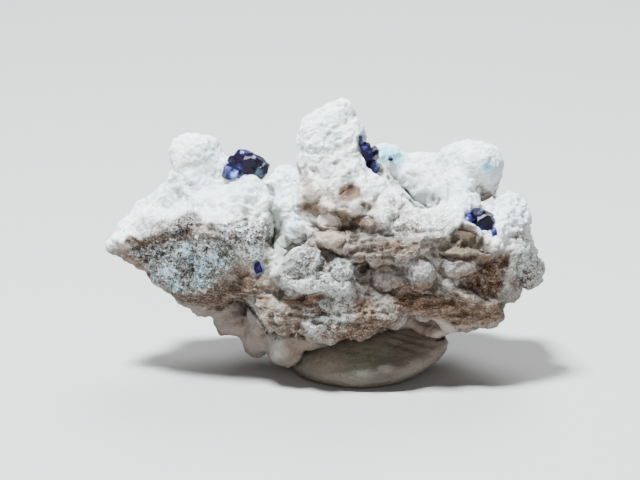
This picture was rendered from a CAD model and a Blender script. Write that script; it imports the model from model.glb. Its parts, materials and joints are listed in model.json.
"""Dresses the henmilite specimen: chalky white matrix, dark blue crystals and a pressed pad of putty.

Marks and zones are laid out by hand, in millimetres across and up as the photograph shows them.
"""

import json
import logging
import math
from dataclasses import dataclass, replace
from enum import Enum
from typing import Any, Mapping, Optional, Sequence

import bmesh
import bpy
import numpy as np
from mathutils import Matrix, Vector, noise

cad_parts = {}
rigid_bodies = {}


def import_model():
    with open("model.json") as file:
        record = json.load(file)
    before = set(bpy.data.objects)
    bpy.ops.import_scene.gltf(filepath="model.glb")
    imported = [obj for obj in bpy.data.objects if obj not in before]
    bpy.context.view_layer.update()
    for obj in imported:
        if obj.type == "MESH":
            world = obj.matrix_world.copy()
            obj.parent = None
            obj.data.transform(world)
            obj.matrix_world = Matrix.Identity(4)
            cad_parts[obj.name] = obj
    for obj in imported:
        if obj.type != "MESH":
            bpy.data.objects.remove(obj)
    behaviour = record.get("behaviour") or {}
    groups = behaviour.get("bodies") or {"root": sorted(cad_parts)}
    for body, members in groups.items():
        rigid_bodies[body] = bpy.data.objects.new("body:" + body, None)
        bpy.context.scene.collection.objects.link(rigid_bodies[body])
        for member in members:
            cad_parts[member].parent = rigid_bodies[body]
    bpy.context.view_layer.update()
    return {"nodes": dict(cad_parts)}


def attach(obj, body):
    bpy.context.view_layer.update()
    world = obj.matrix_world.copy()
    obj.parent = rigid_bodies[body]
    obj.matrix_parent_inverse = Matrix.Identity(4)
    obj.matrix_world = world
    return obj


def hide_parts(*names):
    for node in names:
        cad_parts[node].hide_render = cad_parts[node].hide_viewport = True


log = logging.getLogger("specimen")

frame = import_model()

# The meshes are shaped in millimetres and scaled to metres at the end.
MM = 0.001
VIEW_TILT = math.radians(15.0)
SIGHT = np.array((0.0, math.cos(VIEW_TILT), -math.sin(VIEW_TILT)))
UPWARD = np.array((0.0, math.sin(VIEW_TILT), math.cos(VIEW_TILT)))

# The camera looks at this place of the view, across and up, from this far.
VIEW_AIM = (-2.65, 6.35)
VIEW_DISTANCE = 240.0

# Points of a copied node that are closer than this are one point.
SAME_POINT = 1e-4

# The sockets of a Mix node that take and give colours share their names, so they go by number.
MIX_FACTOR = 0
MIX_FIRST = 6
MIX_SECOND = 7
MIX_RESULT = 2

Colour = tuple[float, float, float]
Outline = tuple[tuple[float, float], ...]
Spot = tuple[float, float, float]


# Shader maths

@dataclass(frozen=True)
class Value:
    """A number that varies over a surface: the output socket of a node."""

    graph: "Graph"
    socket: bpy.types.NodeSocket

    def _with(self, operation: str, first: Any, second: Any) -> "Value":
        """Joins two numbers with a Math node.

        Args:
            operation: The Math node's operation.
            first: A number or value.
            second: A number or value.

        Returns:
            The result.
        """
        node = self.graph.node("ShaderNodeMath", {"operation": operation}, {0: first, 1: second})
        return Value(self.graph, node.outputs[0])

    def __add__(self, other: Any) -> "Value":
        """Sum."""
        return self._with("ADD", self, other)

    def __radd__(self, other: Any) -> "Value":
        """Sum, with the number first."""
        return self._with("ADD", other, self)

    def __sub__(self, other: Any) -> "Value":
        """Difference."""
        return self._with("SUBTRACT", self, other)

    def __rsub__(self, other: Any) -> "Value":
        """Difference, with the number first."""
        return self._with("SUBTRACT", other, self)

    def __mul__(self, other: Any) -> "Value":
        """Product."""
        return self._with("MULTIPLY", self, other)

    def __rmul__(self, other: Any) -> "Value":
        """Product, with the number first."""
        return self._with("MULTIPLY", other, self)

    @property
    def swing(self) -> "Value":
        """How far a noise is above or below its middle."""
        return self - 0.5

    def rise(self, low: float, high: float) -> "Value":
        """Turns the number into a soft step.

        Args:
            low: Where the step is still 0.
            high: Where it has reached 1.

        Returns:
            The step.
        """
        settings = {"interpolation_type": "SMOOTHSTEP"}
        node = self.graph.node(
            "ShaderNodeMapRange", settings, {"Value": self, "From Min": low, "From Max": high})
        return Value(self.graph, node.outputs["Result"])


@dataclass(frozen=True)
class Stain:
    """The colour of a painted zone, with an edge that a noise makes ragged."""

    zone: str
    tint: Colour
    ragged: float
    low: float
    high: float
    strength: float = 1.0


class Graph:
    """The node tree of one material, with patterns measured in millimetres."""

    def __init__(self, name: str) -> None:
        """Starts a material with one Principled shader.

        Args:
            name: The material's name.
        """
        self.material = bpy.data.materials.new(name)
        self.material.use_nodes = True
        self.tree = self.material.node_tree
        self.shader = self.tree.nodes["Principled BSDF"]
        place = self.node("ShaderNodeTexCoord", {}, {}).outputs["Object"]
        per_mm = (1.0 / MM, 1.0 / MM, 1.0 / MM)
        self.place = self.node("ShaderNodeMapping", {}, {"Vector": place, "Scale": per_mm}).outputs[0]

    def node(self, kind: str, settings: Mapping[str, Any], sockets: Mapping[Any, Any]) -> bpy.types.Node:
        """Adds one node.

        Args:
            kind: The node's type.
            settings: Its settings, which are set first.
            sockets: The values or links of its sockets.

        Returns:
            The node.
        """
        made = self.tree.nodes.new(kind)
        for key, setting in settings.items():
            setattr(made, key, setting)
        for key, given in sockets.items():
            self.feed(made.inputs[key], given)
        return made

    def feed(self, socket: bpy.types.NodeSocket, given: Any) -> None:
        """Sets a socket to a number or colour, or links it.

        Args:
            socket: The input socket.
            given: A number, a colour, an output socket or a value.
        """
        if isinstance(given, Value):
            self.tree.links.new(given.socket, socket)
        elif isinstance(given, bpy.types.NodeSocket):
            self.tree.links.new(given, socket)
        elif isinstance(given, tuple) and socket.type == "RGBA":
            socket.default_value = (*given, 1.0)
        else:
            socket.default_value = given

    def stretched(self, x: float, y: float, z: float) -> bpy.types.NodeSocket:
        """The place on the piece, stretched by a factor along each axis."""
        return self.node("ShaderNodeMapping", {}, {"Vector": self.place, "Scale": (x, y, z)}).outputs[0]

    def clouds(self, scale: float, detail: float = 3.0, roughness: float = 0.55, warp: float = 0.0,
               place: Optional[bpy.types.NodeSocket] = None) -> Value:
        """Soft noise.

        Args:
            scale: Waves to the millimetre.
            detail: How many finer layers it has.
            roughness: How strong the finer layers are.
            warp: How far it is distorted.
            place: Where it is read, or None for the plain place.

        Returns:
            The noise, around 0.5.
        """
        sockets = {"Vector": place or self.place, "Scale": scale, "Detail": detail,
                   "Roughness": roughness, "Distortion": warp}
        return Value(self, self.node("ShaderNodeTexNoise", {}, sockets).outputs["Fac"])

    def cells(self, scale: float) -> Value:
        """How far the surface is from the middle of its cell, with that many cells to the millimetre."""
        node = self.node("ShaderNodeTexVoronoi", {}, {"Vector": self.place, "Scale": scale})
        return Value(self, node.outputs["Distance"])

    def painted(self, name: str) -> Value:
        """A number painted on the mesh, by the name of its attribute."""
        return Value(self, self.node("ShaderNodeAttribute", {"attribute_name": name}, {}).outputs["Fac"])

    def tinted(self, name: str) -> bpy.types.NodeSocket:
        """A colour painted on the mesh, by the name of its attribute."""
        return self.node("ShaderNodeAttribute", {"attribute_name": name}, {}).outputs["Color"]

    def blend(self, factor: Any, first: Any, second: Any, way: str = "MIX") -> bpy.types.NodeSocket:
        """Mixes two colours.

        Args:
            factor: How much of the second there is.
            first: A colour or an output socket.
            second: A colour or an output socket.
            way: The Mix node's blending mode.

        Returns:
            The mixed colour.
        """
        sockets = {MIX_FACTOR: factor, MIX_FIRST: first, MIX_SECOND: second}
        node = self.node("ShaderNodeMix", {"data_type": "RGBA", "blend_type": way}, sockets)
        return node.outputs[MIX_RESULT]

    def darken(self, factor: Any, under: Any, shade: Colour) -> bpy.types.NodeSocket:
        """Multiplies a colour by a shade, as far as the factor says."""
        return self.blend(factor, under, shade, "MULTIPLY")

    def lay(self, stain: Stain, under: Any, grain: Value) -> bpy.types.NodeSocket:
        """Lays a stain over a colour.

        Args:
            stain: The stain.
            under: The colour under it.
            grain: The noise that makes its edge ragged.

        Returns:
            The colour with the stain.
        """
        zone = (self.painted(stain.zone) + grain.swing * stain.ragged).rise(stain.low, stain.high)
        return self.blend(zone * stain.strength, under, stain.tint)

    def bump(self, height: Value, reach: float, strength: float) -> bpy.types.NodeSocket:
        """Turns a height into a relief.

        Args:
            height: The height, 0 to 1.
            reach: What 1 stands for, in millimetres.
            strength: The Bump node's strength.

        Returns:
            The normal.
        """
        sockets = {"Height": height, "Distance": reach * MM, "Strength": strength}
        return self.node("ShaderNodeBump", {}, sockets).outputs["Normal"]

    def finish(self, settings: Mapping[str, Any]) -> bpy.types.Material:
        """Sets the shader's sockets.

        Args:
            settings: The values or links of the Principled shader's sockets.

        Returns:
            The finished material.
        """
        for key, given in settings.items():
            self.feed(self.shader.inputs[key], given)
        return self.material


# Finishes

class Tint(Enum):
    """The colours of the matrix."""

    SNOW = (0.84, 0.88, 0.895)
    PEARL = (0.56, 0.58, 0.585)
    MINT = (0.42, 0.48, 0.44)
    CREAM = (0.441, 0.378, 0.315)
    HAZE = (0.287, 0.316, 0.328)
    LILAC = (0.280, 0.269, 0.286)
    ASH = (0.194, 0.181, 0.169)
    SAGE = (0.20, 0.225, 0.195)
    BEIGE = (0.222, 0.178, 0.142)
    MAUVE = (0.36, 0.295, 0.26)
    TAN = (0.163, 0.110, 0.075)
    OLIVE = (0.126, 0.106, 0.074)
    OCHRE = (0.152, 0.089, 0.053)
    UMBER = (0.101, 0.062, 0.039)
    SMOKE = (0.205, 0.170, 0.147)
    PEAT = (0.060, 0.042, 0.030)


@dataclass(frozen=True)
class ChalkFinish:
    """The chalky matrix: its painted tints, broken up by grit, streaks, crust, cracks and thin rims."""

    cool: Colour = (0.58, 0.69, 0.745)
    shade: Colour = (0.42, 0.33, 0.255)
    veil: Colour = (0.56, 0.53, 0.48)
    cleft: Colour = (0.52, 0.48, 0.44)
    glint: Colour = (0.62, 0.56, 0.49)
    ink: Colour = (0.016, 0.010, 0.007)
    rim: Colour = (0.40, 0.34, 0.29)
    sea: Colour = (0.16, 0.55, 0.66)
    sky: Colour = (0.34, 0.53, 0.66)
    pearl: Colour = (0.78, 0.90, 0.96)
    stone: Colour = (0.25, 0.27, 0.265)
    slate: Colour = (0.014, 0.016, 0.017)
    moss: Colour = (0.088, 0.072, 0.050)
    halo: Colour = (0.20, 0.27, 0.72)
    stain: Colour = (0.020, 0.014, 0.13)
    roughness: float = 0.88
    gloss: float = 0.3
    relief: float = 0.16

    def make(self) -> bpy.types.Material:
        """Builds the material.

        Returns:
            The material.
        """
        g = Graph("chalky matrix")
        grain = g.clouds(5.0, 5.0, 0.65)
        fine = g.clouds(11.0, 4.0, 0.7)
        lace = g.clouds(2.6, 5.0, 0.72, 1.4)
        layers = g.clouds(5.0, 4.0, 0.6, 0.4, g.stretched(0.35, 0.35, 2.6))
        white = g.painted("white")
        grit = g.painted("grit")
        streak = g.painted("streak")
        scree = g.painted("scree")
        colour = self._chalk(g, white, grain, fine)
        colour = self._grit(g, colour, grit, grain, fine)
        colour = g.darken((1.0 - layers.rise(0.36, 0.50)) * streak * 0.6, colour, self.shade)
        colour = g.blend(layers.rise(0.56, 0.68) * streak * 0.3, colour, self.glint)
        colour = g.lay(Stain("sea", self.sea, 1.6, 0.30, 0.85, 0.9), colour, grain)
        pale = (lace * 0.6 + fine * 0.4).rise(0.475, 0.525)
        colour = g.darken((1.0 - pale) * scree * 0.75, colour, self.shade)
        colour = g.blend(pale * scree * 0.55, colour, self.pearl)
        colour = self._crust(g, colour, grain, fine, lace)
        colour = g.darken(g.painted("hollow") * (1.0 - white * 0.8) * 0.5, colour, self.shade)
        crease = (g.painted("crease") * 1.2 + grain.swing * 0.8).rise(0.20, 0.90)
        colour = g.darken(crease * (1.0 - white * 0.45) * 0.75, colour, self.cleft)
        for stain in (
            Stain("rim", self.rim, 0.5, 0.30, 0.80, 0.75),
            Stain("ink", self.ink, 0.5, 0.30, 0.85, 0.9),
            Stain("halo", self.halo, 1.0, 0.50, 1.05, 0.5),
            Stain("stain", self.stain, 0.7, 0.40, 0.75, 0.95),
        ):
            colour = g.lay(stain, colour, grain)
        height = (grain * 0.7 + fine * 0.7) * (grit * 0.7 + 0.38) + layers * streak * 0.6
        return g.finish({"Base Color": colour, "Roughness": self.roughness, "Specular IOR Level": self.gloss,
                         "Normal": g.bump(height, self.relief, 1.0)})

    def _chalk(self, g: Graph, white: Value, grain: Value, fine: Value) -> bpy.types.NodeSocket:
        """The painted tint, cooler and veiled in places where it is white.

        Args:
            g: The material's graph.
            white: How white the surface is.
            grain: The shared grain.
            fine: The shared fine grain.

        Returns:
            The colour.
        """
        broad = g.clouds(0.55, 3.0)
        chalk = (broad * 0.6 + grain * 0.3 + fine * 0.1).rise(0.38, 0.60)
        colour = g.blend((1.0 - chalk) * white, g.tinted("tint"), self.cool)
        veil = g.clouds(1.3, 4.0, 0.6).rise(0.50, 0.68)
        return g.blend(veil * white * 0.45, colour, self.veil)

    def _grit(self, g: Graph, under: bpy.types.NodeSocket, grit: Value, grain: Value,
              fine: Value) -> bpy.types.NodeSocket:
        """Lays dark grit and pale glints over the chalk.

        Args:
            g: The material's graph.
            under: The colour under them.
            grit: How gritty the surface is.
            grain: The shared grain.
            fine: The shared fine grain.

        Returns:
            The gritty colour.
        """
        mottle = g.clouds(2.0, 5.0, 0.68, 0.5)
        colour = g.darken((1.0 - fine.rise(0.40, 0.52)) * grit * 0.85, under, self.shade)
        colour = g.darken((1.0 - mottle.rise(0.40, 0.54)) * (grit + 0.10) * 0.55, colour, self.shade)
        colour = g.blend(mottle.rise(0.54, 0.66) * grit * 0.35, colour, self.glint)
        colour = g.darken((1.0 - grain.rise(0.40, 0.56)) * grit * 0.55, colour, self.shade)
        return g.blend(fine.rise(0.53, 0.66) * grit * 0.45, colour, self.glint)

    def _crust(self, g: Graph, under: bpy.types.NodeSocket, grain: Value, fine: Value,
               lace: Value) -> bpy.types.NodeSocket:
        """Lays the speckled crust of the left face over the chalk.

        Args:
            g: The material's graph.
            under: The colour under it.
            grain: The shared grain.
            fine: The shared fine grain.
            lace: The shared wavy pattern.

        Returns:
            The colour with the crust.
        """
        here = (g.painted("crust") + grain.swing * 1.4 + lace.swing * 2.2).rise(0.35, 0.65)
        frost = g.painted("frost")
        light = g.blend((frost + lace.swing * 2.0).rise(0.25, 0.75), self.stone, self.sky)
        light = g.blend((lace * 0.6 + fine * 0.4 + frost * 0.05).rise(0.53, 0.60), light, self.pearl)
        dark = g.blend(grain.rise(0.42, 0.60), self.slate, self.moss)
        patch = g.blend((lace * 0.5 + fine * 0.5 + frost * 0.035).rise(0.455, 0.515), dark, light)
        return g.blend(here * 0.96, under, patch)


@dataclass(frozen=True)
class HenmiliteFinish:
    """Vitreous henmilite: so deep a blue that it looks black, violet or sea grey where it is thin."""

    deep: Colour = (0.0020, 0.0013, 0.0100)
    plum: Colour = (0.007, 0.004, 0.018)
    violet: Colour = (0.016, 0.015, 0.110)
    sea: Colour = (0.055, 0.095, 0.13)
    dust: Colour = (0.20, 0.23, 0.36)
    frost: Colour = (0.24, 0.36, 0.74)
    polish: float = 0.09
    gloss: float = 0.17
    relief: float = 0.060

    def make(self, name: str) -> bpy.types.Material:
        """Builds the material.

        Args:
            name: The material's name.

        Returns:
            The material.
        """
        g = Graph(name)
        patch = g.clouds(2.6, 3.0)
        grain = g.clouds(9.0, 4.0, 0.75, 1.0)
        ripple = g.clouds(4.0, 3.0, 0.6)
        speckle = grain * 0.6 + ripple * 0.4
        dusty = g.painted("dusty")
        colour = g.blend((patch * 0.5 + g.painted("tone") * 0.6).rise(0.35, 0.80), self.deep, self.plum)
        colour = g.lay(Stain("thin", self.violet, 1.3, 0.30, 0.80), colour, ripple)
        colour = g.lay(Stain("sea", self.sea, 0.6, 0.35, 0.85, 0.8), colour, ripple)
        dust = (speckle + g.painted("thin") * 0.05 + g.painted("sea") * 0.03).rise(0.58, 0.72)
        colour = g.blend(dust * 0.45, colour, self.dust)
        colour = g.blend((speckle + dusty * 0.20).rise(0.56, 0.70) * dusty, colour, self.frost)
        normal = g.bump(grain * 0.3 + ripple, self.relief, 0.9)
        return g.finish({"Base Color": colour, "Roughness": dust * 0.5 + self.polish,
                         "Specular IOR Level": self.gloss, "Normal": normal})


@dataclass(frozen=True)
class PuttyFinish:
    """Old mounting putty: olive grey, with dark grit and a greener middle."""

    olive: Colour = (0.150, 0.130, 0.108)
    green: Colour = (0.130, 0.138, 0.100)
    grey: Colour = (0.13, 0.112, 0.09)
    plum: Colour = (0.085, 0.062, 0.054)
    deep: Colour = (0.42, 0.42, 0.42)
    pale: Colour = (0.21, 0.175, 0.135)
    grit: Colour = (0.012, 0.010, 0.008)
    roughness: float = 0.62
    gloss: float = 0.35
    relief: float = 0.05

    def make(self) -> bpy.types.Material:
        """Builds the material.

        Returns:
            The material.
        """
        g = Graph("mounting putty")
        broad = g.clouds(0.45, 3.0)
        grain = g.clouds(6.0, 4.0, 0.6)
        fibre = g.clouds(5.0, 4.0, 0.65, 0.6, g.stretched(0.5, 1.0, 1.6))
        colour = g.blend(g.painted("green") * (0.4 + broad), self.olive, self.green)
        colour = g.blend(g.painted("plum") * (0.3 + broad), colour, self.plum)
        colour = g.blend(g.painted("pale") * 0.8, colour, self.pale)
        colour = g.blend(grain.rise(0.50, 0.72) * 0.55, colour, self.grey)
        colour = g.darken((1.0 - fibre.rise(0.36, 0.48)) * 0.6, colour, self.deep)
        colour = g.darken(g.painted("low") * 0.85, colour, self.deep)
        specks = 1.0 - (g.cells(2.3) + grain.swing * 0.2).rise(0.07, 0.15)
        colour = g.blend(specks * 0.75, colour, self.grit)
        return g.finish({"Base Color": colour, "Roughness": self.roughness, "Specular IOR Level": self.gloss,
                         "Normal": g.bump(grain, self.relief, 0.4)})


@dataclass(frozen=True)
class FloorFinish:
    """A plain pale floor."""

    pale: Colour = (0.34, 0.34, 0.338)
    roughness: float = 0.6

    def make(self) -> bpy.types.Material:
        """Builds the material."""
        return Graph("pale floor").finish({"Base Color": self.pale, "Roughness": self.roughness})


# Tools for meshes

def deselect() -> None:
    """Leaves nothing selected."""
    for item in bpy.context.view_layer.objects:
        item.select_set(False)


def select_only(item: bpy.types.Object) -> None:
    """Selects one piece alone and makes it the active one.

    Args:
        item: The piece.
    """
    deselect()
    item.select_set(True)
    bpy.context.view_layer.objects.active = item


def apply_all(item: bpy.types.Object) -> None:
    """Applies all the modifiers of a piece, first to last.

    Args:
        item: The piece.
    """
    select_only(item)
    for modifier in list(item.modifiers):
        bpy.ops.object.modifier_apply(modifier=modifier.name)


def copy_of(node: str, name: str) -> bpy.types.Object:
    """Copies a node of the frame, in millimetres, with its loose triangles merged.

    Args:
        node: The node.
        name: The copy's name.

    Returns:
        The copy.
    """
    mesh = bmesh.new()
    mesh.from_mesh(frame["nodes"][node].data)
    mesh.transform(Matrix.Scale(1.0 / MM, 4))
    bmesh.ops.remove_doubles(mesh, verts=mesh.verts, dist=SAME_POINT)
    data = bpy.data.meshes.new(name)
    mesh.to_mesh(data)
    mesh.free()
    item = bpy.data.objects.new(name, data)
    bpy.context.scene.collection.objects.link(item)
    return item


def stand_in(item: bpy.types.Object, node: str, material: bpy.types.Material) -> None:
    """Scales a finished mesh to metres, dresses it, and lets it stand for its node.

    Args:
        item: The piece.
        node: The node.
        material: The piece's only material.
    """
    item.data.transform(Matrix.Scale(MM, 4))
    item.data.materials.append(material)
    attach(item, "root")
    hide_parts(node)


def remesh(item: bpy.types.Object, cell: float, rounds: int) -> None:
    """Covers a piece with an even skin and smooths it.

    Args:
        item: The piece.
        cell: The size of the skin's cells, in millimetres.
        rounds: How often it is smoothed.
    """
    skin = item.modifiers.new("Skin", "REMESH")
    skin.mode = "VOXEL"
    skin.voxel_size = cell
    soft = item.modifiers.new("Soften", "SMOOTH")
    soft.factor = 0.5
    soft.iterations = rounds
    apply_all(item)


def read(item: bpy.types.Object, what: str) -> np.ndarray:
    """Reads the points or normals of a piece.

    Args:
        item: The piece.
        what: co or normal.

    Returns:
        Rows of x, y and z.
    """
    found = np.empty(len(item.data.vertices) * 3)
    item.data.vertices.foreach_get(what, found)
    return found.reshape(-1, 3)


def write(item: bpy.types.Object, places: np.ndarray) -> None:
    """Moves the points of a piece to these rows of x, y and z."""
    item.data.vertices.foreach_set("co", places.ravel())
    item.data.update()


def paint(item: bpy.types.Object, name: str, amounts: np.ndarray) -> None:
    """Paints one number on every point of a piece, under the attribute's name."""
    layer = item.data.attributes.new(name, "FLOAT", "POINT")
    layer.data.foreach_set("value", np.clip(amounts, 0.0, 1.0).astype(np.float32))


def soft_step(amounts: np.ndarray, low: float, high: float) -> np.ndarray:
    """A soft step from 0 at low to 1 at high."""
    share = np.clip((amounts - low) / (high - low), 0.0, 1.0)
    return share * share * (3.0 - 2.0 * share)


def cells_at(places: np.ndarray, size: float) -> np.ndarray:
    """How far each point is from the middle of its cell, from 0 to about 1 between two cells."""
    return np.array([noise.voronoi(Vector(place))[0][0] for place in places / size])


@dataclass(frozen=True)
class Wave:
    """Smooth noise of one height and wavelength, in millimetres, with a shift that sets it apart."""

    height: float
    size: float
    shift: float

    def at(self, places: np.ndarray) -> np.ndarray:
        """The noise at the points, around 0."""
        moved = places / self.size + self.shift
        return self.height * np.array([noise.noise(Vector(place)) for place in moved])


@dataclass(frozen=True)
class Zones:
    """Zones of one kind, each with its amount, and the width of their soft edges."""

    soft: float
    rows: tuple[tuple[float, Outline], ...]


@dataclass(frozen=True)
class Skin:
    """The points of a piece in millimetres, their normals, and where the photograph shows them."""

    places: np.ndarray
    normals: np.ndarray
    across: np.ndarray
    up: np.ndarray

    @staticmethod
    def of(item: bpy.types.Object) -> "Skin":
        """Reads a piece and works out where the photograph shows its points.

        Args:
            item: The piece.

        Returns:
            Its skin.
        """
        places = read(item, "co")
        nearer = VIEW_DISTANCE / (VIEW_DISTANCE + places @ SIGHT + VIEW_AIM[1] * math.tan(VIEW_TILT))
        across = VIEW_AIM[0] + (places[:, 0] - VIEW_AIM[0]) * nearer
        up = VIEW_AIM[1] + (places @ UPWARD - VIEW_AIM[1]) * nearer
        return Skin(places, read(item, "normal"), across, up)

    def bent(self, across_waves: Sequence[Wave], up_waves: Sequence[Wave]) -> "Skin":
        """Bends the places seen, so that what is drawn with straight lines comes out ragged.

        Args:
            across_waves: What is added to the places across.
            up_waves: What is added to the places up.

        Returns:
            The skin as seen through the waves.
        """
        across, up = self.across, self.up
        for wave in across_waves:
            across = across + wave.at(self.places)
        for wave in up_waves:
            up = up + wave.at(self.places)
        return replace(self, across=across, up=up)

    def lifted(self, lift: np.ndarray) -> np.ndarray:
        """The points, each moved along its normal."""
        return self.places + self.normals * lift[:, None]

    def facing(self, low: float, high: float) -> np.ndarray:
        """A soft mask, 0 where the cosine between normal and camera is low and 1 where it is high."""
        return soft_step(-(self.normals @ SIGHT), low, high)

    def near(self, line: Outline) -> np.ndarray:
        """How far the points are seen from a line of several straight runs.

        Args:
            line: The line's points.

        Returns:
            The distances.
        """
        nearest = np.full(self.across.shape, np.inf)
        for (x0, y0), (x1, y1) in zip(line[:-1], line[1:]):
            run, climb = x1 - x0, y1 - y0
            share = ((self.across - x0) * run + (self.up - y0) * climb) / (run * run + climb * climb)
            share = np.clip(share, 0.0, 1.0)
            away = np.hypot(self.across - x0 - share * run, self.up - y0 - share * climb)
            nearest = np.minimum(nearest, away)
        return nearest

    def inside(self, outline: Outline, soft: float) -> np.ndarray:
        """A soft mask that is 1 inside an outline.

        Args:
            outline: The outline's corners.
            soft: The width of its soft edge.

        Returns:
            The mask.
        """
        inside = np.zeros(self.across.shape, dtype=bool)
        closed = outline + (outline[0],)
        for (x0, y0), (x1, y1) in zip(closed[:-1], closed[1:]):
            if y0 == y1:
                continue
            crosses = (self.up > min(y0, y1)) & (self.up <= max(y0, y1))
            crosses &= self.across < x0 + (self.up - y0) * (x1 - x0) / (y1 - y0)
            inside ^= crosses
        away = self.near(closed)
        return soft_step(np.where(inside, away, -away), -soft, soft)

    def within(self, zones: Zones) -> np.ndarray:
        """The amount of the strongest zone at each point."""
        masks = [amount * self.inside(outline, zones.soft) for amount, outline in zones.rows]
        return np.maximum.reduce(masks)

    def spots(self, spots: Sequence[Spot]) -> np.ndarray:
        """Soft round spots.

        Args:
            spots: The place across and up, and the size of each.

        Returns:
            Numbers from 0, far off, to 1, in the middle of a spot.
        """
        found = np.zeros(len(self.across))
        for across, up, size in spots:
            away = np.hypot(self.across - across, self.up - up) / size
            found = np.maximum(found, np.exp(-away * away))
        return found


# The relief of the matrix

class Shape(Enum):
    """How a mark of the relief rises or sinks."""

    PEBBLE = "round, with a crease at its edge"
    PIT = "a soft hole"
    CRACK = "a sharp line sunk in"
    RIDGE = "a soft line standing out"


@dataclass(frozen=True)
class Mark:
    """A lump or a hole of the relief: its middle, half sizes, height or depth, and turn in degrees."""

    shape: Shape
    across: float
    up: float
    half_width: float
    half_height: float
    amount: float
    turn: float = 0.0

    def lift(self, skin: Skin) -> np.ndarray:
        """How far it lifts the skin.

        Args:
            skin: The skin.

        Returns:
            The lifts in millimetres.
        """
        turn = math.radians(self.turn)
        across, up = skin.across - self.across, skin.up - self.up
        right = across * math.cos(turn) + up * math.sin(turn)
        above = up * math.cos(turn) - across * math.sin(turn)
        away = np.hypot(right / self.half_width, above / self.half_height)
        if self.shape is Shape.PEBBLE:
            dome = np.sqrt(np.clip(1.0 - away * away, 0.0, 1.0)) * self.amount
            moat = np.exp(-((away - 1.02) / 0.10) ** 2) * self.amount * 0.35
            return dome - moat
        return -self.amount * soft_step(1.25 - away, 0.0, 0.75)


@dataclass(frozen=True)
class Stroke:
    """A crack or a ridge of the relief: its width, depth or height, how dark or pale it is, and its line."""

    shape: Shape
    width: float
    amount: float
    strength: float
    line: Outline

    def trace(self, skin: Skin) -> np.ndarray:
        """How close the points are to the line, from 0, far off, to 1, on it."""
        away = skin.near(self.line) / self.width
        return np.exp(-away * away)

    def lift(self, skin: Skin) -> np.ndarray:
        """How far it lifts the skin, in millimetres."""
        sign = 1.0 if self.shape is Shape.RIDGE else -1.0
        return sign * self.amount * self.trace(skin)


@dataclass(frozen=True)
class Patch:
    """A patch of one tint: how much of it, how gritty it is, how wide its soft edge is, and its outline."""

    tint: Tint
    amount: float
    grit: float
    soft: float
    outline: Outline


PEBBLES: tuple[tuple[float, ...], ...] = (
    (-4.42, 6.3, 0.38, 0.35, 0.12), (-4.62, 5.5, 0.45, 0.42, 0.1), (-3.5, 6.85, 0.5, 0.5, 0.12),
    (-2.18, 7.22, 0.6, 0.48, 0.2), (-3.08, 7.35, 0.28, 0.36, 0.1), (-1.45, 7.6, 0.46, 0.4, 0.12),
    (-2.3, 8.1, 0.5, 0.4, 0.12), (-3.35, 9.5, 0.45, 0.5, 0.1), (-2.3, 9.95, 0.42, 0.5, 0.1),
    (-2.9, 11.2, 0.5, 0.6, 0.1), (-0.35, 7.22, 0.74, 0.32, 0.14), (-2.15, 6.48, 0.8, 0.54, 0.14),
    (-3.45, 5.35, 0.98, 0.72, 0.14, 12.0), (-1.52, 4.93, 0.66, 0.6, 0.18, -10.0),
    (-2.7, 4.1, 1.6, 0.42, 0.09), (0.65, 4.38, 0.78, 0.64, 0.18, -10.0), (2.35, 4.62, 0.88, 0.78, 0.18),
    (4.15, 4.98, 0.74, 0.44, 0.16, 4.0), (3.75, 4.1, 0.34, 0.32, 0.14), (4.75, 3.68, 0.95, 0.3, 0.1, -18.0),
    (5.55, 5.4, 0.5, 0.32, 0.12), (4.4, 5.75, 0.85, 0.22, 0.12), (-0.85, 5.45, 0.38, 0.32, 0.14),
    (0.12, 5.36, 0.42, 0.4, 0.14), (1.4, 5.22, 0.45, 0.36, 0.1), (5.1, 9.9, 1.05, 0.95, 0.08),
    (8.05, 4.95, 0.45, 0.6, 0.1), (-3.05, 8.75, 0.55, 0.45, 0.1), (-1.85, 9.0, 0.42, 0.38, 0.08),
    (-2.75, 1.85, 0.52, 0.34, 0.12, 25.0), (-4.1, 2.55, 0.7, 0.45, 0.08),
)
PITS: tuple[tuple[float, ...], ...] = (
    (-1.72, 11.4, 0.1, 0.26, 0.16, -35.0), (-1.17, 8.74, 0.46, 0.34, 0.08), (-0.45, 8.05, 0.22, 0.12, 0.12),
    (-3.35, 8.0, 0.4, 0.18, 0.1), (-1.32, 6.92, 0.34, 0.2, 0.16), (4.1, 6.35, 0.18, 0.2, 0.16),
    (4.58, 6.21, 0.17, 0.2, 0.16), (5.04, 6.29, 0.15, 0.18, 0.14), (-2.25, 5.62, 0.4, 0.17, 0.26, -24.0),
    (-2.35, 5.32, 0.2, 0.24, 0.14), (-0.57, 4.92, 0.34, 0.32, 0.28), (-0.42, 2.62, 0.2, 0.05, 0.16, 15.0),
    (-2.78, 4.4, 0.13, 0.09, 0.12), (-2.42, 4.22, 0.14, 0.08, 0.12), (-5.45, 3.42, 0.32, 0.14, 0.14),
    (-2.75, 2.72, 0.4, 0.3, 0.14), (2.85, 5.22, 0.24, 0.1, 0.18, -45.0), (3.52, 5.52, 0.22, 0.09, 0.14),
    (7.22, 5.05, 0.2, 0.36, 0.12, -20.0), (-2.95, 2.2, 0.28, 0.12, 0.08),
)
MARKS = (*(Mark(Shape.PEBBLE, *row) for row in PEBBLES), *(Mark(Shape.PIT, *row) for row in PITS))

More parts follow.
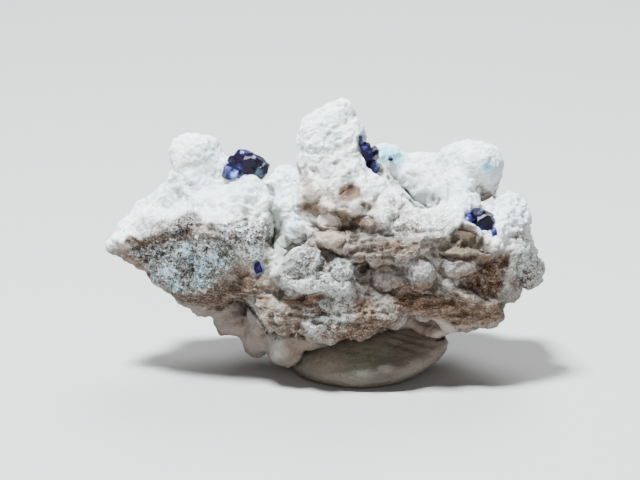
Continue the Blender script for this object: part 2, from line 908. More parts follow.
CRACKS: tuple[tuple[float, float, float, Outline], ...] = (
    (0.15, 0.3, 0.4, ((0.3, 9.9), (0.75, 9.5), (1.3, 8.85), (1.55, 8.6))),
    (0.13, 0.3, 0.75, ((1.55, 8.6), (2.0, 8.15), (2.25, 7.98), (2.6, 7.98))),
    (0.1, 0.2, 0.2, ((-5.0, 8.6), (-5.05, 8.1), (-4.95, 7.2))),
    (0.09, 0.22, 0.9, ((-4.93, 6.9), (-4.98, 6.5), (-5.05, 6.1), (-5.0, 5.95))),
    (0.07, 0.12, 0.45, ((-4.4, 5.6), (-3.9, 5.9), (-3.5, 6.05), (-3.0, 6.0))),
    (0.08, 0.12, 0.45, ((-3.3, 7.6), (-3.1, 7.2), (-2.85, 7.15), (-2.7, 6.85), (-1.8, 6.8))),
    (0.08, 0.12, 0.6, ((-1.7, 6.9), (-1.5, 7.05), (-1.2, 7.12), (-1.0, 6.98), (0.0, 6.92))),
    (0.08, 0.14, 0.95, ((-2.7, 5.9), (-2.3, 5.85), (-1.75, 5.58))),
    (0.07, 0.1, 0.6, ((-1.7, 5.55), (-1.3, 5.42), (-0.97, 5.14))),
    (0.08, 0.12, 0.95, ((-0.97, 5.14), (-0.6, 5.15), (-0.38, 5.3), (-0.25, 5.1), (-0.2, 4.88))),
    (0.07, 0.12, 0.55, ((-0.2, 4.9), (0.2, 4.93), (0.6, 5.05), (1.0, 5.0), (1.35, 4.85))),
    (0.07, 0.12, 0.6, ((-0.2, 4.4), (-0.05, 4.1), (0.2, 3.85), (0.5, 3.68), (0.9, 3.75), (1.2, 3.9))),
    (0.07, 0.12, 0.6, ((1.4, 4.75), (1.47, 4.45), (1.62, 4.15), (1.9, 3.86), (2.3, 3.66), (3.1, 3.55))),
    (0.08, 0.12, 0.8, ((2.6, 5.45), (2.8, 5.2), (3.02, 5.04))),
    (0.07, 0.12, 0.55, ((3.02, 5.04), (3.3, 4.75), (3.6, 4.5), (4.2, 4.42), (4.8, 4.6), (5.2, 4.85))),
    (0.07, 0.1, 0.5, ((3.3, 4.05), (3.4, 3.8), (3.7, 3.62), (4.3, 3.6))),
    (0.07, 0.12, 0.8, ((4.35, 4.1), (5.1, 3.8), (5.5, 3.52), (5.95, 3.3))),
    (0.1, 0.14, 0.6, ((3.5, 5.52), (4.3, 5.4), (5.1, 5.45))),
    (0.07, 0.1, 0.7, ((5.05, 5.12), (5.6, 5.08), (6.0, 5.35), (6.4, 5.5))),
    (0.07, 0.08, 0.35, ((3.85, 6.6), (4.2, 6.85), (4.8, 6.8), (5.15, 6.5))),
    (0.05, 0.08, 0.95, ((-3.5, 3.55), (-3.0, 3.63), (-2.55, 3.76))),
    (0.05, 0.08, 0.8, ((-3.35, 3.1), (-2.85, 3.16))),
    (0.05, 0.08, 0.95, ((-0.65, 2.58), (-0.45, 2.6), (-0.25, 2.68))),
    (0.05, 0.06, 0.5, ((1.0, 3.1), (1.15, 2.85), (1.35, 2.75), (1.7, 2.8))),
    (0.05, 0.06, 0.6, ((3.0, 3.55), (3.7, 3.4), (3.9, 3.2), (4.1, 3.05))),
    (0.05, 0.06, 0.45, ((4.0, 2.65), (4.5, 2.6), (4.3, 2.3))),
    (0.07, 0.14, 0.95, ((-6.6, 3.5), (-6.2, 3.05), (-5.9, 2.65), (-5.55, 2.2), (-5.3, 1.7))),
    (0.05, 0.08, 0.95, ((-7.0, 3.92), (-6.6, 3.78))),
    (0.05, 0.08, 0.9, ((-8.9, 3.55), (-8.4, 3.45))),
    (0.05, 0.08, 0.9, ((-7.65, 2.9), (-7.4, 2.97))),
    (0.06, 0.1, 0.85, ((-3.3, 0.5), (-2.8, 0.42), (-2.5, 0.55))),
    (0.06, 0.1, 0.55, ((-3.4, 0.9), (-3.2, 0.62))),
    (0.07, 0.1, 0.8, ((1.6, 1.68), (2.2, 1.5), (3.0, 1.42), (3.6, 1.32))),
    (0.08, 0.1, 0.35, ((-8.0, 7.0), (-7.4, 7.08), (-6.9, 7.2), (-6.35, 7.38))),
    (0.08, 0.1, 0.25, ((-6.7, 6.95), (-6.2, 7.1), (-5.7, 7.0))),
    (0.09, 0.12, 0.55, ((-12.4, 6.45), (-11.8, 6.35), (-11.3, 6.1))),
    (0.09, 0.12, 0.6, ((-11.5, 5.62), (-11.0, 5.55), (-10.4, 5.68))),
    (0.09, 0.12, 0.55, ((-10.9, 6.2), (-10.3, 6.3), (-9.9, 6.65), (-9.3, 6.8))),
    (0.1, 0.14, 0.3, ((5.5, 8.9), (5.55, 8.4), (5.45, 8.05))),
    (0.1, 0.16, 0.2, ((3.6, 9.3), (3.65, 8.7), (3.6, 8.2))),
)
RIDGES: tuple[tuple[float, float, float, Outline], ...] = (
    (0.12, 0.08, 0.4, ((-2.0, 1.34), (-1.5, 1.24), (-0.75, 1.24), (-0.4, 1.45), (-0.1, 1.85), (0.5, 1.9))),
    (0.12, 0.08, 0.4, ((0.5, 1.9), (1.1, 1.9), (1.4, 2.18), (1.8, 2.52), (2.4, 2.47), (3.1, 2.6))),
    (0.12, 0.08, 0.55, ((4.2, 2.03), (5.0, 2.08), (5.8, 2.08), (6.3, 2.3), (6.6, 2.85), (7.0, 3.25))),
    (0.1, 0.05, 0.6, ((-6.45, 3.5), (-6.05, 3.05), (-5.7, 2.6), (-5.4, 2.25), (-5.1, 1.85))),
    (0.08, 0.06, 0.6, ((-1.25, 5.4), (-0.9, 5.24), (-0.6, 5.25), (-0.35, 5.42))),
    (0.08, 0.06, 0.6, ((-0.18, 5.15), (0.1, 5.03), (0.5, 5.12), (0.9, 5.1))),
    (0.07, 0.05, 0.7, ((0.2, 4.0), (0.5, 3.82), (0.95, 3.9), (1.25, 4.1))),
    (0.07, 0.05, 0.6, ((1.62, 4.4), (1.85, 4.0), (2.25, 3.8), (2.9, 3.68))),
    (0.07, 0.05, 0.7, ((3.58, 4.8), (3.8, 4.6), (4.5, 4.56), (5.1, 4.8))),
    (0.08, 0.06, 0.5, ((3.6, 5.75), (4.1, 5.62), (4.9, 5.62), (5.2, 5.7))),
    (0.08, 0.06, 0.55, ((-4.9, 1.9), (-4.5, 2.05), (-4.0, 2.02))),
    (0.2, 0.1, 0.0, ((2.2, 7.8), (2.9, 8.0), (3.5, 8.05), (3.7, 8.2))),
    (0.16, 0.05, 0.0, ((7.1, 5.85), (6.85, 5.2), (6.75, 4.7), (6.65, 4.2))),
)
STROKES = (*(Stroke(Shape.CRACK, *row) for row in CRACKS), *(Stroke(Shape.RIDGE, *row) for row in RIDGES))

# Where the relief is coarser, smoother or layered.
CRUST: Outline = (
    (-12.3, 5.7), (-11.5, 6.0), (-10.6, 6.15), (-9.7, 6.35), (-8.8, 6.5), (-7.8, 6.45), (-7.0, 6.1),
    (-6.8, 5.5), (-7.0, 4.9), (-7.6, 4.5), (-8.2, 4.0), (-9.2, 3.7), (-10.2, 3.75), (-11.0, 4.4),
    (-11.4, 5.1))
LAYERED = Zones(0.35, (
    (1.0, (
        (-6.2, 4.4), (-4.7, 3.7), (-2.6, 3.6), (-0.8, 3.4), (0.2, 3.1), (1.2, 3.6), (3.3, 3.7), (4.8, 3.5),
        (6.5, 3.4), (6.2, 1.9), (4.3, 1.8), (3.1, 2.4), (0.0, 1.6), (-1.8, 1.0), (-3.4, 1.2), (-5.2, 1.7),
        (-6.4, 3.2))),
    (1.0, (
        (-1.4, 6.8), (0.8, 7.0), (2.2, 6.8), (3.6, 6.6), (3.4, 5.7), (1.4, 5.5), (-0.6, 5.4), (-1.4, 5.9)))
))
SMOOTH = Zones(0.35, (
    (0.42, (
        (0.4, 11.3), (0.3, 10.2), (1.3, 8.9), (2.3, 8.15), (3.7, 8.35), (4.3, 8.8), (5.4, 8.9), (6.6, 9.2),
        (6.6, 11.5), (2.0, 11.2))),
    (0.45, ((-10.5, 9.7), (-10.4, 11.2), (-9.2, 12.1), (-7.8, 11.8), (-7.2, 10.5), (-8.2, 9.6)))
))
JAGGED = Zones(0.30, (
    (1.0, ((6.2, 9.2), (7.2, 8.6), (8.4, 7.0), (8.9, 5.0), (8.4, 4.6), (7.4, 5.6), (6.6, 7.0), (5.8, 8.0))),
    (0.9, ((0.5, 8.4), (2.2, 8.1), (3.6, 8.5), (4.2, 7.6), (3.0, 7.0), (1.6, 7.0), (0.6, 7.4)))
))

# What makes straight outlines ragged, across and up, in the relief and in the colours.
RELIEF_WAVES = ((Wave(0.10, 0.7, 3.0), Wave(0.07, 0.3, 5.0)), (Wave(0.10, 0.7, 9.0), Wave(0.07, 0.3, 13.0)))
COLOUR_WAVES = ((Wave(0.16, 0.7, 11.0), Wave(0.10, 0.25, 19.0)),
                (Wave(0.16, 0.7, 17.0), Wave(0.10, 0.25, 23.0)))


# The colours of the matrix

STREAKS = Zones(0.25, (
    (1.0, (
        (-10.7, 3.7), (-9.0, 3.7), (-8.0, 4.2), (-6.6, 4.6), (-5.9, 4.4), (-6.3, 3.4), (-7.6, 2.7),
        (-10.6, 3.4))),
    (0.9, ((-12.6, 6.1), (-12.2, 6.7), (-10.4, 6.7), (-9.7, 7.4), (-8.9, 7.6), (-8.9, 6.4), (-10.4, 6.0))),
    (0.8, ((-1.5, 6.5), (0.6, 6.7), (2.0, 6.4), (2.8, 5.8), (1.2, 5.2), (-0.2, 5.1), (-1.4, 5.6))),
    (0.9, (
        (0.9, 3.6), (2.0, 3.7), (4.3, 3.6), (6.2, 3.3), (7.0, 3.2), (6.4, 2.0), (4.2, 1.9), (2.6, 2.5),
        (1.0, 2.6))),
    (0.7, ((-6.2, 4.0), (-4.2, 3.6), (-2.4, 3.7), (-2.2, 2.4), (-3.3, 1.5), (-5.2, 1.7))),
    (0.4, ((-2.3, 2.4), (-0.9, 3.4), (0.3, 3.4), (1.2, 2.3), (0.9, 1.8), (-0.6, 1.2), (-2.3, 1.3))),
    (0.5, ((5.0, 9.0), (5.9, 9.2), (6.5, 8.8), (6.2, 8.1), (5.6, 7.95), (5.2, 8.3)))
))
SCREE = Zones(0.35, (
    (1.0, (
        (-8.0, 7.0), (-6.8, 7.5), (-5.4, 7.6), (-5.1, 6.6), (-5.2, 5.4), (-6.0, 5.2), (-6.9, 5.7),
        (-7.4, 6.2))),
    (0.4, (
        (-12.2, 6.8), (-11.4, 7.4), (-10.2, 7.6), (-9.6, 7.9), (-8.8, 7.8), (-8.4, 6.9), (-10.4, 6.5),
        (-11.8, 6.5))),
    (0.8, ((0.3, 7.6), (1.4, 7.9), (2.4, 7.6), (3.6, 7.7), (4.0, 7.0), (3.5, 6.6), (1.4, 6.6), (0.6, 6.8))),
    (0.4, ((0.2, 8.9), (1.2, 8.8), (2.2, 8.0), (3.8, 8.2), (4.2, 7.4), (2.4, 7.4), (0.6, 7.6))),
    (0.7, ((6.8, 7.2), (7.6, 7.2), (8.2, 6.2), (8.7, 5.2), (8.3, 4.2), (7.2, 3.8), (7.2, 5.4))),
    (0.7, (
        (-4.5, 4.2), (-3.6, 5.8), (-2.7, 5.7), (-2.3, 4.9), (-1.5, 5.4), (-1.0, 4.8), (-1.2, 3.8),
        (-2.6, 3.8))),
    (0.6, ((-3.4, 2.9), (-2.4, 3.3), (-1.2, 3.5), (-0.9, 2.5), (-2.0, 1.6), (-3.3, 1.7)))
))
FROST: tuple[Spot, ...] = (
    (-9.35, 5.9, 0.4), (-8.0, 5.55, 0.4), (-8.5, 5.05, 0.42), (-10.25, 4.8, 0.4), (-10.9, 4.5, 0.28),
    (-9.85, 4.1, 0.35), (-7.55, 5.2, 0.25), (-9.1, 5.4, 0.25), (-8.7, 4.35, 0.35))
SEA_SPOTS: tuple[Spot, ...] = (
    (0.9, 10.55, 0.5), (0.55, 10.85, 0.4), (1.3, 10.4, 0.45), (0.45, 10.2, 0.25), (5.75, 10.0, 0.45),
    (-0.38, 11.35, 0.22))
STAINS: tuple[Spot, ...] = (
    (4.68, 7.52, 0.17), (4.8, 7.35, 0.14), (4.9, 7.6, 0.14), (5.38, 6.95, 0.12), (0.14, 9.74, 0.12),
    (-7.42, 9.8, 0.1), (-7.1, 9.4, 0.1), (0.95, 10.42, 0.08))
DARK_DOTS: tuple[Spot, ...] = (
    (-1.9, 4.92, 0.07), (-0.3, 4.2, 0.07), (8.22, 5.22, 0.07), (-12.45, 6.8, 0.08), (-11.3, 5.35, 0.2),
    (-11.75, 5.95, 0.2), (-11.0, 5.95, 0.16), (-11.6, 5.5, 0.12), (-10.5, 5.65, 0.14), (-11.2, 4.65, 0.12),
    (-9.0, 4.85, 0.16), (-2.42, 4.2, 0.08), (-2.78, 4.42, 0.07))

GROUND: tuple[Patch, ...] = (
    Patch(Tint.ASH, 0.95, 0.55, 0.35, (
        (-14.0, 6.0), (-12.6, 6.0), (-9.0, 6.3), (-7.4, 6.0), (-6.8, 5.5), (-5.4, 4.8), (-4.8, 4.8),
        (-4.4, 5.6), (-3.6, 6.2), (-3.2, 7.0), (-2.6, 7.3), (-1.2, 7.2), (0.4, 7.0), (1.4, 6.9), (2.6, 6.6),
        (4.0, 6.5), (5.4, 6.4), (6.3, 6.0), (7.3, 5.7), (9.0, 5.3), (9.0, 0.0), (4.0, -2.0), (-6.0, -2.0),
        (-14.0, 3.0))),
    Patch(Tint.HAZE, 0.95, 0.75, 0.2, (
        (-4.7, 4.5), (-4.3, 5.5), (-3.4, 6.05), (-2.7, 5.8), (-2.3, 5.0), (-1.5, 5.55), (-0.9, 5.0),
        (-0.95, 4.4), (-1.2, 3.6), (-2.4, 3.7), (-4.2, 3.6))),
    Patch(Tint.SNOW, 0.6, 0.7, 0.2, (
        (-4.6, 4.2), (-4.0, 4.55), (-2.6, 4.5), (-1.3, 4.4), (-1.0, 3.7), (-2.4, 3.72), (-4.2, 3.55))),
    Patch(Tint.MINT, 0.85, 0.9, 0.25, (
        (-7.1, 5.9), (-5.9, 5.7), (-5.1, 5.6), (-5.1, 4.8), (-5.4, 4.6), (-6.0, 5.0), (-6.9, 5.4))),
    Patch(Tint.SAGE, 0.92, 0.12, 0.25, (
        (-5.2, 8.0), (-4.7, 8.0), (-4.2, 6.9), (-4.0, 6.2), (-4.3, 5.5), (-4.9, 5.1), (-5.1, 6.0))),
)
LEFT_FACE: tuple[Patch, ...] = (
    Patch(Tint.LILAC, 0.92, 1.0, 0.25, (
        (-8.0, 7.0), (-6.3, 7.4), (-5.5, 7.4), (-5.1, 6.6), (-5.2, 5.9), (-6.2, 5.9), (-7.4, 5.9))),
    Patch(Tint.LILAC, 0.75, 1.0, 0.25, (
        (-12.0, 7.0), (-11.5, 7.5), (-10.0, 7.4), (-10.2, 6.7), (-11.6, 6.6))),
    Patch(Tint.UMBER, 1.0, 0.6, 0.14, (
        (-12.6, 6.2), (-12.3, 6.65), (-11.4, 6.6), (-10.6, 6.75), (-10.1, 7.3), (-9.7, 7.6), (-8.7, 7.8),
        (-8.6, 7.0), (-9.0, 6.5), (-10.4, 6.1), (-11.4, 6.0))),
    Patch(Tint.BEIGE, 0.75, 0.9, 0.18, (
        (-11.2, 7.1), (-10.5, 7.2), (-10.2, 7.0), (-10.4, 6.7), (-11.4, 6.7))),
    Patch(Tint.PEAT, 0.95, 0.8, 0.15, (
        (-10.3, 6.85), (-9.8, 7.35), (-9.1, 7.85), (-8.6, 7.6), (-9.1, 6.85), (-9.8, 6.5))),
    Patch(Tint.UMBER, 0.95, 0.8, 0.12, (
        (-12.2, 6.0), (-11.2, 6.2), (-10.8, 5.6), (-11.4, 5.2), (-12.0, 5.4))),
    Patch(Tint.BEIGE, 0.6, 1.0, 0.18, ((-8.9, 7.3), (-8.3, 7.3), (-7.6, 7.0), (-7.6, 6.6), (-8.8, 6.8))),
    Patch(Tint.TAN, 0.8, 0.9, 0.2, (
        (-9.1, 6.8), (-8.2, 6.85), (-7.4, 6.6), (-7.4, 6.1), (-8.4, 6.3), (-9.1, 6.4))),
    Patch(Tint.TAN, 0.85, 0.5, 0.2, (
        (-13.0, 5.9), (-12.3, 5.9), (-11.4, 5.5), (-11.0, 4.5), (-10.6, 3.6), (-11.3, 4.3), (-12.6, 5.4))),
    Patch(Tint.UMBER, 0.9, 0.6, 0.2, (
        (-10.7, 3.7), (-9.0, 3.6), (-8.0, 4.1), (-7.0, 4.4), (-6.2, 4.9), (-5.9, 4.6), (-5.9, 4.0),
        (-6.4, 3.4), (-7.6, 2.8), (-9.0, 3.1), (-10.6, 3.5))),
    Patch(Tint.TAN, 0.7, 0.6, 0.15, (
        (-6.8, 5.4), (-6.3, 5.5), (-6.1, 5.1), (-6.4, 4.6), (-7.4, 4.6), (-6.9, 5.0))),
    Patch(Tint.UMBER, 0.8, 0.6, 0.2, ((-6.9, 4.8), (-5.4, 4.5), (-5.2, 4.0), (-6.0, 3.7), (-6.5, 3.9))),
    Patch(Tint.BEIGE, 0.75, 0.5, 0.2, ((-5.6, 4.6), (-5.0, 4.5), (-4.6, 3.7), (-5.6, 3.7))),
)
PEAK_FOOT: tuple[Patch, ...] = (
    Patch(Tint.CREAM, 0.6, 0.25, 0.25, (
        (-3.0, 6.8), (-2.6, 6.9), (-1.4, 6.9), (-1.3, 6.3), (-1.8, 5.7), (-2.9, 6.0))),
    Patch(Tint.CREAM, 0.3, 0.25, 0.4, (
        (-3.9, 9.0), (-3.3, 10.5), (-2.6, 11.0), (-1.6, 10.4), (-1.2, 9.6), (0.0, 8.7), (0.5, 7.5),
        (-1.2, 7.2), (-3.4, 7.4))),
    Patch(Tint.CREAM, 0.65, 0.3, 0.3, (
        (-3.9, 8.4), (-3.0, 8.7), (-1.4, 9.0), (0.2, 8.2), (0.5, 7.5), (-3.4, 7.4))),
    Patch(Tint.BEIGE, 0.85, 0.3, 0.15, (
        (-3.3, 9.9), (-2.9, 8.9), (-2.4, 8.7), (-2.7, 8.2), (-3.4, 8.5), (-3.7, 9.6))),
    Patch(Tint.ASH, 0.95, 0.3, 0.15, (
        (-2.1, 8.9), (-1.7, 8.6), (-1.2, 8.2), (-1.3, 7.9), (-2.0, 8.3), (-2.5, 8.5))),
    Patch(Tint.HAZE, 0.95, 0.2, 0.15, ((-1.6, 9.7), (-1.0, 9.7), (-0.8, 9.3), (-1.2, 9.15), (-1.6, 9.35))),
    Patch(Tint.TAN, 0.95, 0.35, 0.15, ((-3.9, 8.15), (-2.9, 8.25), (-2.3, 8.0), (-2.6, 7.65), (-3.8, 7.6))),
    Patch(Tint.BEIGE, 0.75, 0.35, 0.15, (
        (-2.5, 8.0), (-1.2, 7.9), (-0.95, 7.4), (-1.2, 7.05), (-1.6, 7.2), (-1.9, 7.6))),
    Patch(Tint.TAN, 0.85, 0.3, 0.12, ((-2.0, 7.75), (-1.3, 7.85), (-1.1, 7.5), (-1.3, 7.2), (-1.7, 7.2))),
    Patch(Tint.UMBER, 0.98, 0.1, 0.1, (
        (-1.8, 9.0), (-1.2, 9.3), (-0.6, 9.0), (-0.6, 8.45), (-1.2, 8.15), (-1.8, 8.4))),
    Patch(Tint.BEIGE, 0.6, 0.15, 0.12, ((-3.3, 7.6), (-2.85, 7.5), (-2.8, 7.0), (-3.15, 7.1))),
    Patch(Tint.MAUVE, 0.75, 0.1, 0.12, ((-2.75, 7.65), (-1.8, 7.6), (-1.6, 7.2), (-1.8, 6.95), (-2.7, 7.0))),
    Patch(Tint.UMBER, 0.92, 0.3, 0.15, (
        (-1.75, 7.0), (-1.1, 7.2), (-0.85, 6.85), (-1.3, 6.55), (-1.7, 6.65))),
    Patch(Tint.UMBER, 0.98, 0.5, 0.15, ((-1.1, 7.5), (0.0, 7.55), (0.55, 7.2), (0.0, 6.85), (-1.1, 6.85))),
    Patch(Tint.OLIVE, 0.98, 0.2, 0.12, ((-0.7, 8.3), (-0.15, 8.35), (-0.05, 7.9), (-0.6, 7.8))),
)
BAND: tuple[Patch, ...] = (
    Patch(Tint.TAN, 0.45, 0.8, 0.25, (
        (-1.5, 6.4), (0.5, 6.5), (2.0, 6.2), (3.0, 6.0), (3.6, 5.6), (2.6, 5.5), (1.2, 5.3), (0.5, 5.0),
        (-0.2, 5.0), (-0.9, 5.1), (-1.5, 5.6))),
    Patch(Tint.OCHRE, 0.5, 0.7, 0.2, ((0.4, 6.3), (2.1, 6.2), (2.0, 5.9), (1.2, 5.6), (0.4, 5.9))),
    Patch(Tint.TAN, 0.7, 0.7, 0.15, ((1.6, 7.15), (2.15, 7.1), (2.1, 6.7), (1.6, 6.7))),
    Patch(Tint.ASH, 0.85, 0.8, 0.25, ((-1.5, 6.7), (-0.2, 6.8), (-0.1, 6.0), (-1.3, 5.9))),
    Patch(Tint.TAN, 0.6, 0.3, 0.12, ((0.0, 5.0), (1.3, 4.95), (1.3, 4.75), (0.6, 4.8), (0.0, 4.75))),
    Patch(Tint.OCHRE, 0.75, 0.7, 0.2, (
        (1.8, 4.2), (2.3, 4.25), (3.0, 4.3), (3.1, 3.8), (2.3, 3.7), (1.9, 3.9))),
    Patch(Tint.HAZE, 0.65, 0.6, 0.2, (
        (1.6, 5.1), (2.7, 5.15), (3.15, 4.6), (3.0, 4.3), (2.3, 4.2), (1.6, 4.4))),
    Patch(Tint.CREAM, 0.6, 0.6, 0.15, (
        (4.2, 3.8), (5.0, 3.6), (6.2, 3.1), (6.0, 2.8), (4.8, 3.2), (4.2, 3.5))),
)
SADDLE_RIM: tuple[Patch, ...] = (
    Patch(Tint.CREAM, 0.35, 0.6, 0.3, ((0.3, 8.9), (1.2, 8.3), (2.0, 7.6), (2.0, 7.2), (0.6, 7.4))),
    Patch(Tint.CREAM, 0.4, 0.6, 0.25, ((2.1, 7.6), (3.4, 7.9), (4.0, 7.4), (3.9, 6.9), (2.4, 7.1))),
    Patch(Tint.BEIGE, 0.55, 0.6, 0.1, ((0.75, 8.6), (1.0, 8.55), (1.5, 7.9), (1.3, 7.8))),
    Patch(Tint.BEIGE, 0.5, 0.6, 0.1, ((2.55, 7.55), (2.8, 7.6), (3.1, 7.25), (2.8, 7.15))),
    Patch(Tint.BEIGE, 0.5, 0.6, 0.1, ((3.3, 7.6), (3.6, 7.55), (3.6, 7.15), (3.35, 7.1))),
    Patch(Tint.CREAM, 0.55, 0.9, 0.25, (
        (0.4, 7.6), (1.4, 7.7), (2.2, 7.3), (3.6, 7.0), (3.6, 6.5), (1.4, 6.8))),
    Patch(Tint.BEIGE, 0.55, 0.8, 0.12, ((1.4, 7.4), (2.0, 7.5), (2.5, 7.1), (2.4, 6.8), (1.8, 7.0))),
    Patch(Tint.BEIGE, 0.45, 0.8, 0.12, ((2.7, 7.3), (3.4, 7.0), (3.5, 6.7), (2.8, 6.9))),
)
BROWN_LAYERS: tuple[Patch, ...] = (
    Patch(Tint.TAN, 0.6, 0.3, 0.12, ((0.1, 4.1), (0.6, 4.0), (1.3, 4.3), (1.35, 4.0), (0.6, 3.65))),
    Patch(Tint.OCHRE, 0.9, 0.45, 0.12, (
        (1.2, 4.2), (1.45, 4.3), (1.7, 4.0), (2.2, 3.6), (1.6, 3.2), (1.0, 3.5), (1.3, 3.9))),
    Patch(Tint.OCHRE, 0.97, 0.75, 0.25, (
        (0.9, 3.6), (2.0, 3.6), (3.2, 3.5), (4.4, 3.55), (4.6, 3.0), (3.2, 2.6), (1.6, 2.6), (1.0, 3.0))),
    Patch(Tint.TAN, 0.95, 0.6, 0.3, (
        (3.0, 3.1), (4.6, 3.4), (5.4, 3.3), (6.2, 3.2), (6.8, 2.9), (6.4, 2.1), (4.3, 1.9), (3.6, 2.3),
        (2.6, 2.6))),
    Patch(Tint.TAN, 0.96, 0.9, 0.2, (
        (-2.3, 2.2), (-1.0, 2.3), (-0.9, 3.4), (0.0, 3.4), (0.4, 2.4), (1.3, 2.4), (0.9, 1.8), (0.0, 1.7),
        (-0.6, 1.2), (-2.3, 1.3), (-3.4, 1.4), (-4.9, 1.6), (-4.9, 1.95), (-3.4, 2.0))),
    Patch(Tint.ASH, 0.85, 0.6, 0.2, (
        (-0.95, 4.5), (-0.2, 4.4), (0.3, 3.7), (0.9, 3.5), (1.0, 2.6), (0.3, 2.6), (-0.2, 3.5), (-1.0, 3.6))),
    Patch(Tint.OCHRE, 0.92, 0.25, 0.12, (
        (-4.4, 3.45), (-3.4, 3.52), (-2.5, 3.68), (-2.4, 3.4), (-2.7, 3.0), (-3.4, 3.0), (-4.4, 3.05))),
    Patch(Tint.TAN, 0.8, 0.4, 0.2, ((-3.3, 3.0), (-2.4, 3.2), (-2.2, 2.6), (-2.9, 2.5))),
    Patch(Tint.BEIGE, 0.8, 0.7, 0.2, ((-4.9, 3.0), (-3.4, 3.0), (-3.3, 2.2), (-4.8, 2.1))),
    Patch(Tint.PEARL, 0.75, 0.9, 0.2, (
        (-2.3, 3.5), (-1.3, 3.5), (-0.95, 3.2), (-1.0, 2.4), (-1.5, 2.4), (-2.2, 2.9))),
    Patch(Tint.PEARL, 0.75, 0.8, 0.15, (
        (-3.3, 2.1), (-2.6, 2.3), (-1.9, 2.4), (-2.3, 1.75), (-2.8, 1.5), (-3.3, 1.6))),
    Patch(Tint.BEIGE, 0.8, 1.0, 0.15, ((-6.0, 3.1), (-4.9, 3.1), (-4.9, 2.0), (-5.2, 1.8))),
    Patch(Tint.OCHRE, 0.95, 0.25, 0.12, ((-5.9, 3.65), (-5.1, 3.6), (-5.2, 3.15), (-5.8, 3.25))),
)
HOLLOW: tuple[Patch, ...] = (
    Patch(Tint.OLIVE, 1.0, 0.2, 0.15, ((3.5, 6.05), (5.3, 6.0), (5.2, 5.6), (3.6, 5.55))),
    Patch(Tint.PEAT, 1.0, 0.15, 0.12, (
        (3.75, 6.8), (4.4, 7.2), (5.25, 7.05), (5.4, 6.4), (5.2, 5.95), (4.1, 5.9), (3.75, 6.2))),
    Patch(Tint.OLIVE, 0.95, 0.05, 0.1, ((3.9, 6.35), (4.1, 6.6), (4.3, 6.35), (4.1, 6.1))),
    Patch(Tint.OLIVE, 0.95, 0.05, 0.1, ((4.4, 6.22), (4.58, 6.45), (4.76, 6.22), (4.58, 5.98))),
    Patch(Tint.OLIVE, 0.95, 0.05, 0.1, ((4.87, 6.3), (5.03, 6.5), (5.2, 6.3), (5.03, 6.08))),
    Patch(Tint.OLIVE, 0.8, 0.4, 0.2, ((5.1, 6.6), (5.9, 6.4), (6.0, 5.8), (5.2, 5.6))),
    Patch(Tint.OCHRE, 0.88, 0.25, 0.12, (
        (3.6, 5.58), (5.2, 5.55), (6.0, 5.6), (5.8, 5.1), (5.0, 5.3), (3.8, 5.38))),
)
RIGHT_BLOCK: tuple[Patch, ...] = (
    Patch(Tint.BEIGE, 0.85, 0.5, 0.15, (
        (3.5, 4.95), (3.8, 4.5), (4.4, 4.4), (5.0, 4.75), (4.6, 5.0), (4.0, 4.8))),
    Patch(Tint.HAZE, 0.25, 0.4, 0.15, (
        (3.5, 5.0), (3.9, 5.3), (4.5, 5.2), (4.6, 4.9), (4.2, 4.65), (3.7, 4.7))),
    Patch(Tint.PEARL, 0.25, 0.35, 0.12, ((3.4, 4.2), (3.7, 4.4), (4.05, 4.3), (4.15, 3.95), (3.5, 3.8))),
    Patch(Tint.OCHRE, 0.92, 1.0, 0.2, (
        (4.5, 4.5), (5.2, 5.0), (6.2, 5.4), (6.9, 5.7), (6.7, 4.9), (6.6, 4.2), (6.2, 3.5), (5.5, 3.6),
        (5.1, 3.9), (4.4, 4.15))),
    Patch(Tint.PEARL, 0.45, 0.8, 0.22, (
        (7.0, 5.95), (7.25, 5.9), (6.95, 5.2), (6.9, 4.2), (6.9, 3.9), (6.5, 3.8), (6.55, 4.6), (6.7, 5.2))),
    Patch(Tint.SAGE, 0.7, 0.2, 0.2, ((6.95, 5.5), (7.4, 5.5), (7.5, 4.9), (6.95, 4.7))),
    Patch(Tint.HAZE, 0.6, 0.6, 0.35, (
        (6.6, 6.6), (7.4, 7.0), (8.0, 6.0), (8.6, 5.2), (8.4, 4.8), (7.3, 5.0), (7.2, 6.0))),
    Patch(Tint.PEARL, 0.5, 0.8, 0.25, ((7.5, 5.3), (8.6, 5.6), (8.8, 4.6), (8.2, 4.2), (7.6, 4.4))),
    Patch(Tint.TAN, 0.75, 0.9, 0.15, (
        (6.9, 4.4), (7.6, 4.45), (8.1, 4.4), (8.2, 4.1), (7.4, 3.8), (7.0, 4.0))),
    Patch(Tint.TAN, 0.85, 0.9, 0.08, ((7.5, 4.75), (7.9, 4.8), (8.1, 4.6), (7.6, 4.55))),
    Patch(Tint.BEIGE, 0.6, 0.6, 0.15, ((7.2, 6.9), (7.5, 6.9), (7.4, 6.4), (7.2, 6.4))),
)
SADDLE: tuple[Patch, ...] = (
    Patch(Tint.SAGE, 0.75, 0.2, 0.18, (
        (0.3, 10.3), (0.7, 10.2), (1.2, 9.6), (1.6, 8.9), (1.2, 8.9), (0.6, 9.5))),
    Patch(Tint.SAGE, 0.8, 0.15, 0.15, ((1.6, 8.7), (2.1, 8.45), (2.7, 8.1), (2.4, 7.9), (1.9, 8.1))),
    Patch(Tint.HAZE, 0.7, 0.15, 0.25, (
        (1.7, 8.8), (2.6, 9.0), (3.4, 8.7), (3.3, 8.3), (2.6, 8.1), (2.0, 8.3))),
    Patch(Tint.CREAM, 0.4, 0.25, 0.25, (
        (5.0, 9.0), (5.9, 9.2), (6.5, 8.8), (6.2, 8.1), (5.6, 7.95), (5.2, 8.3))),
)
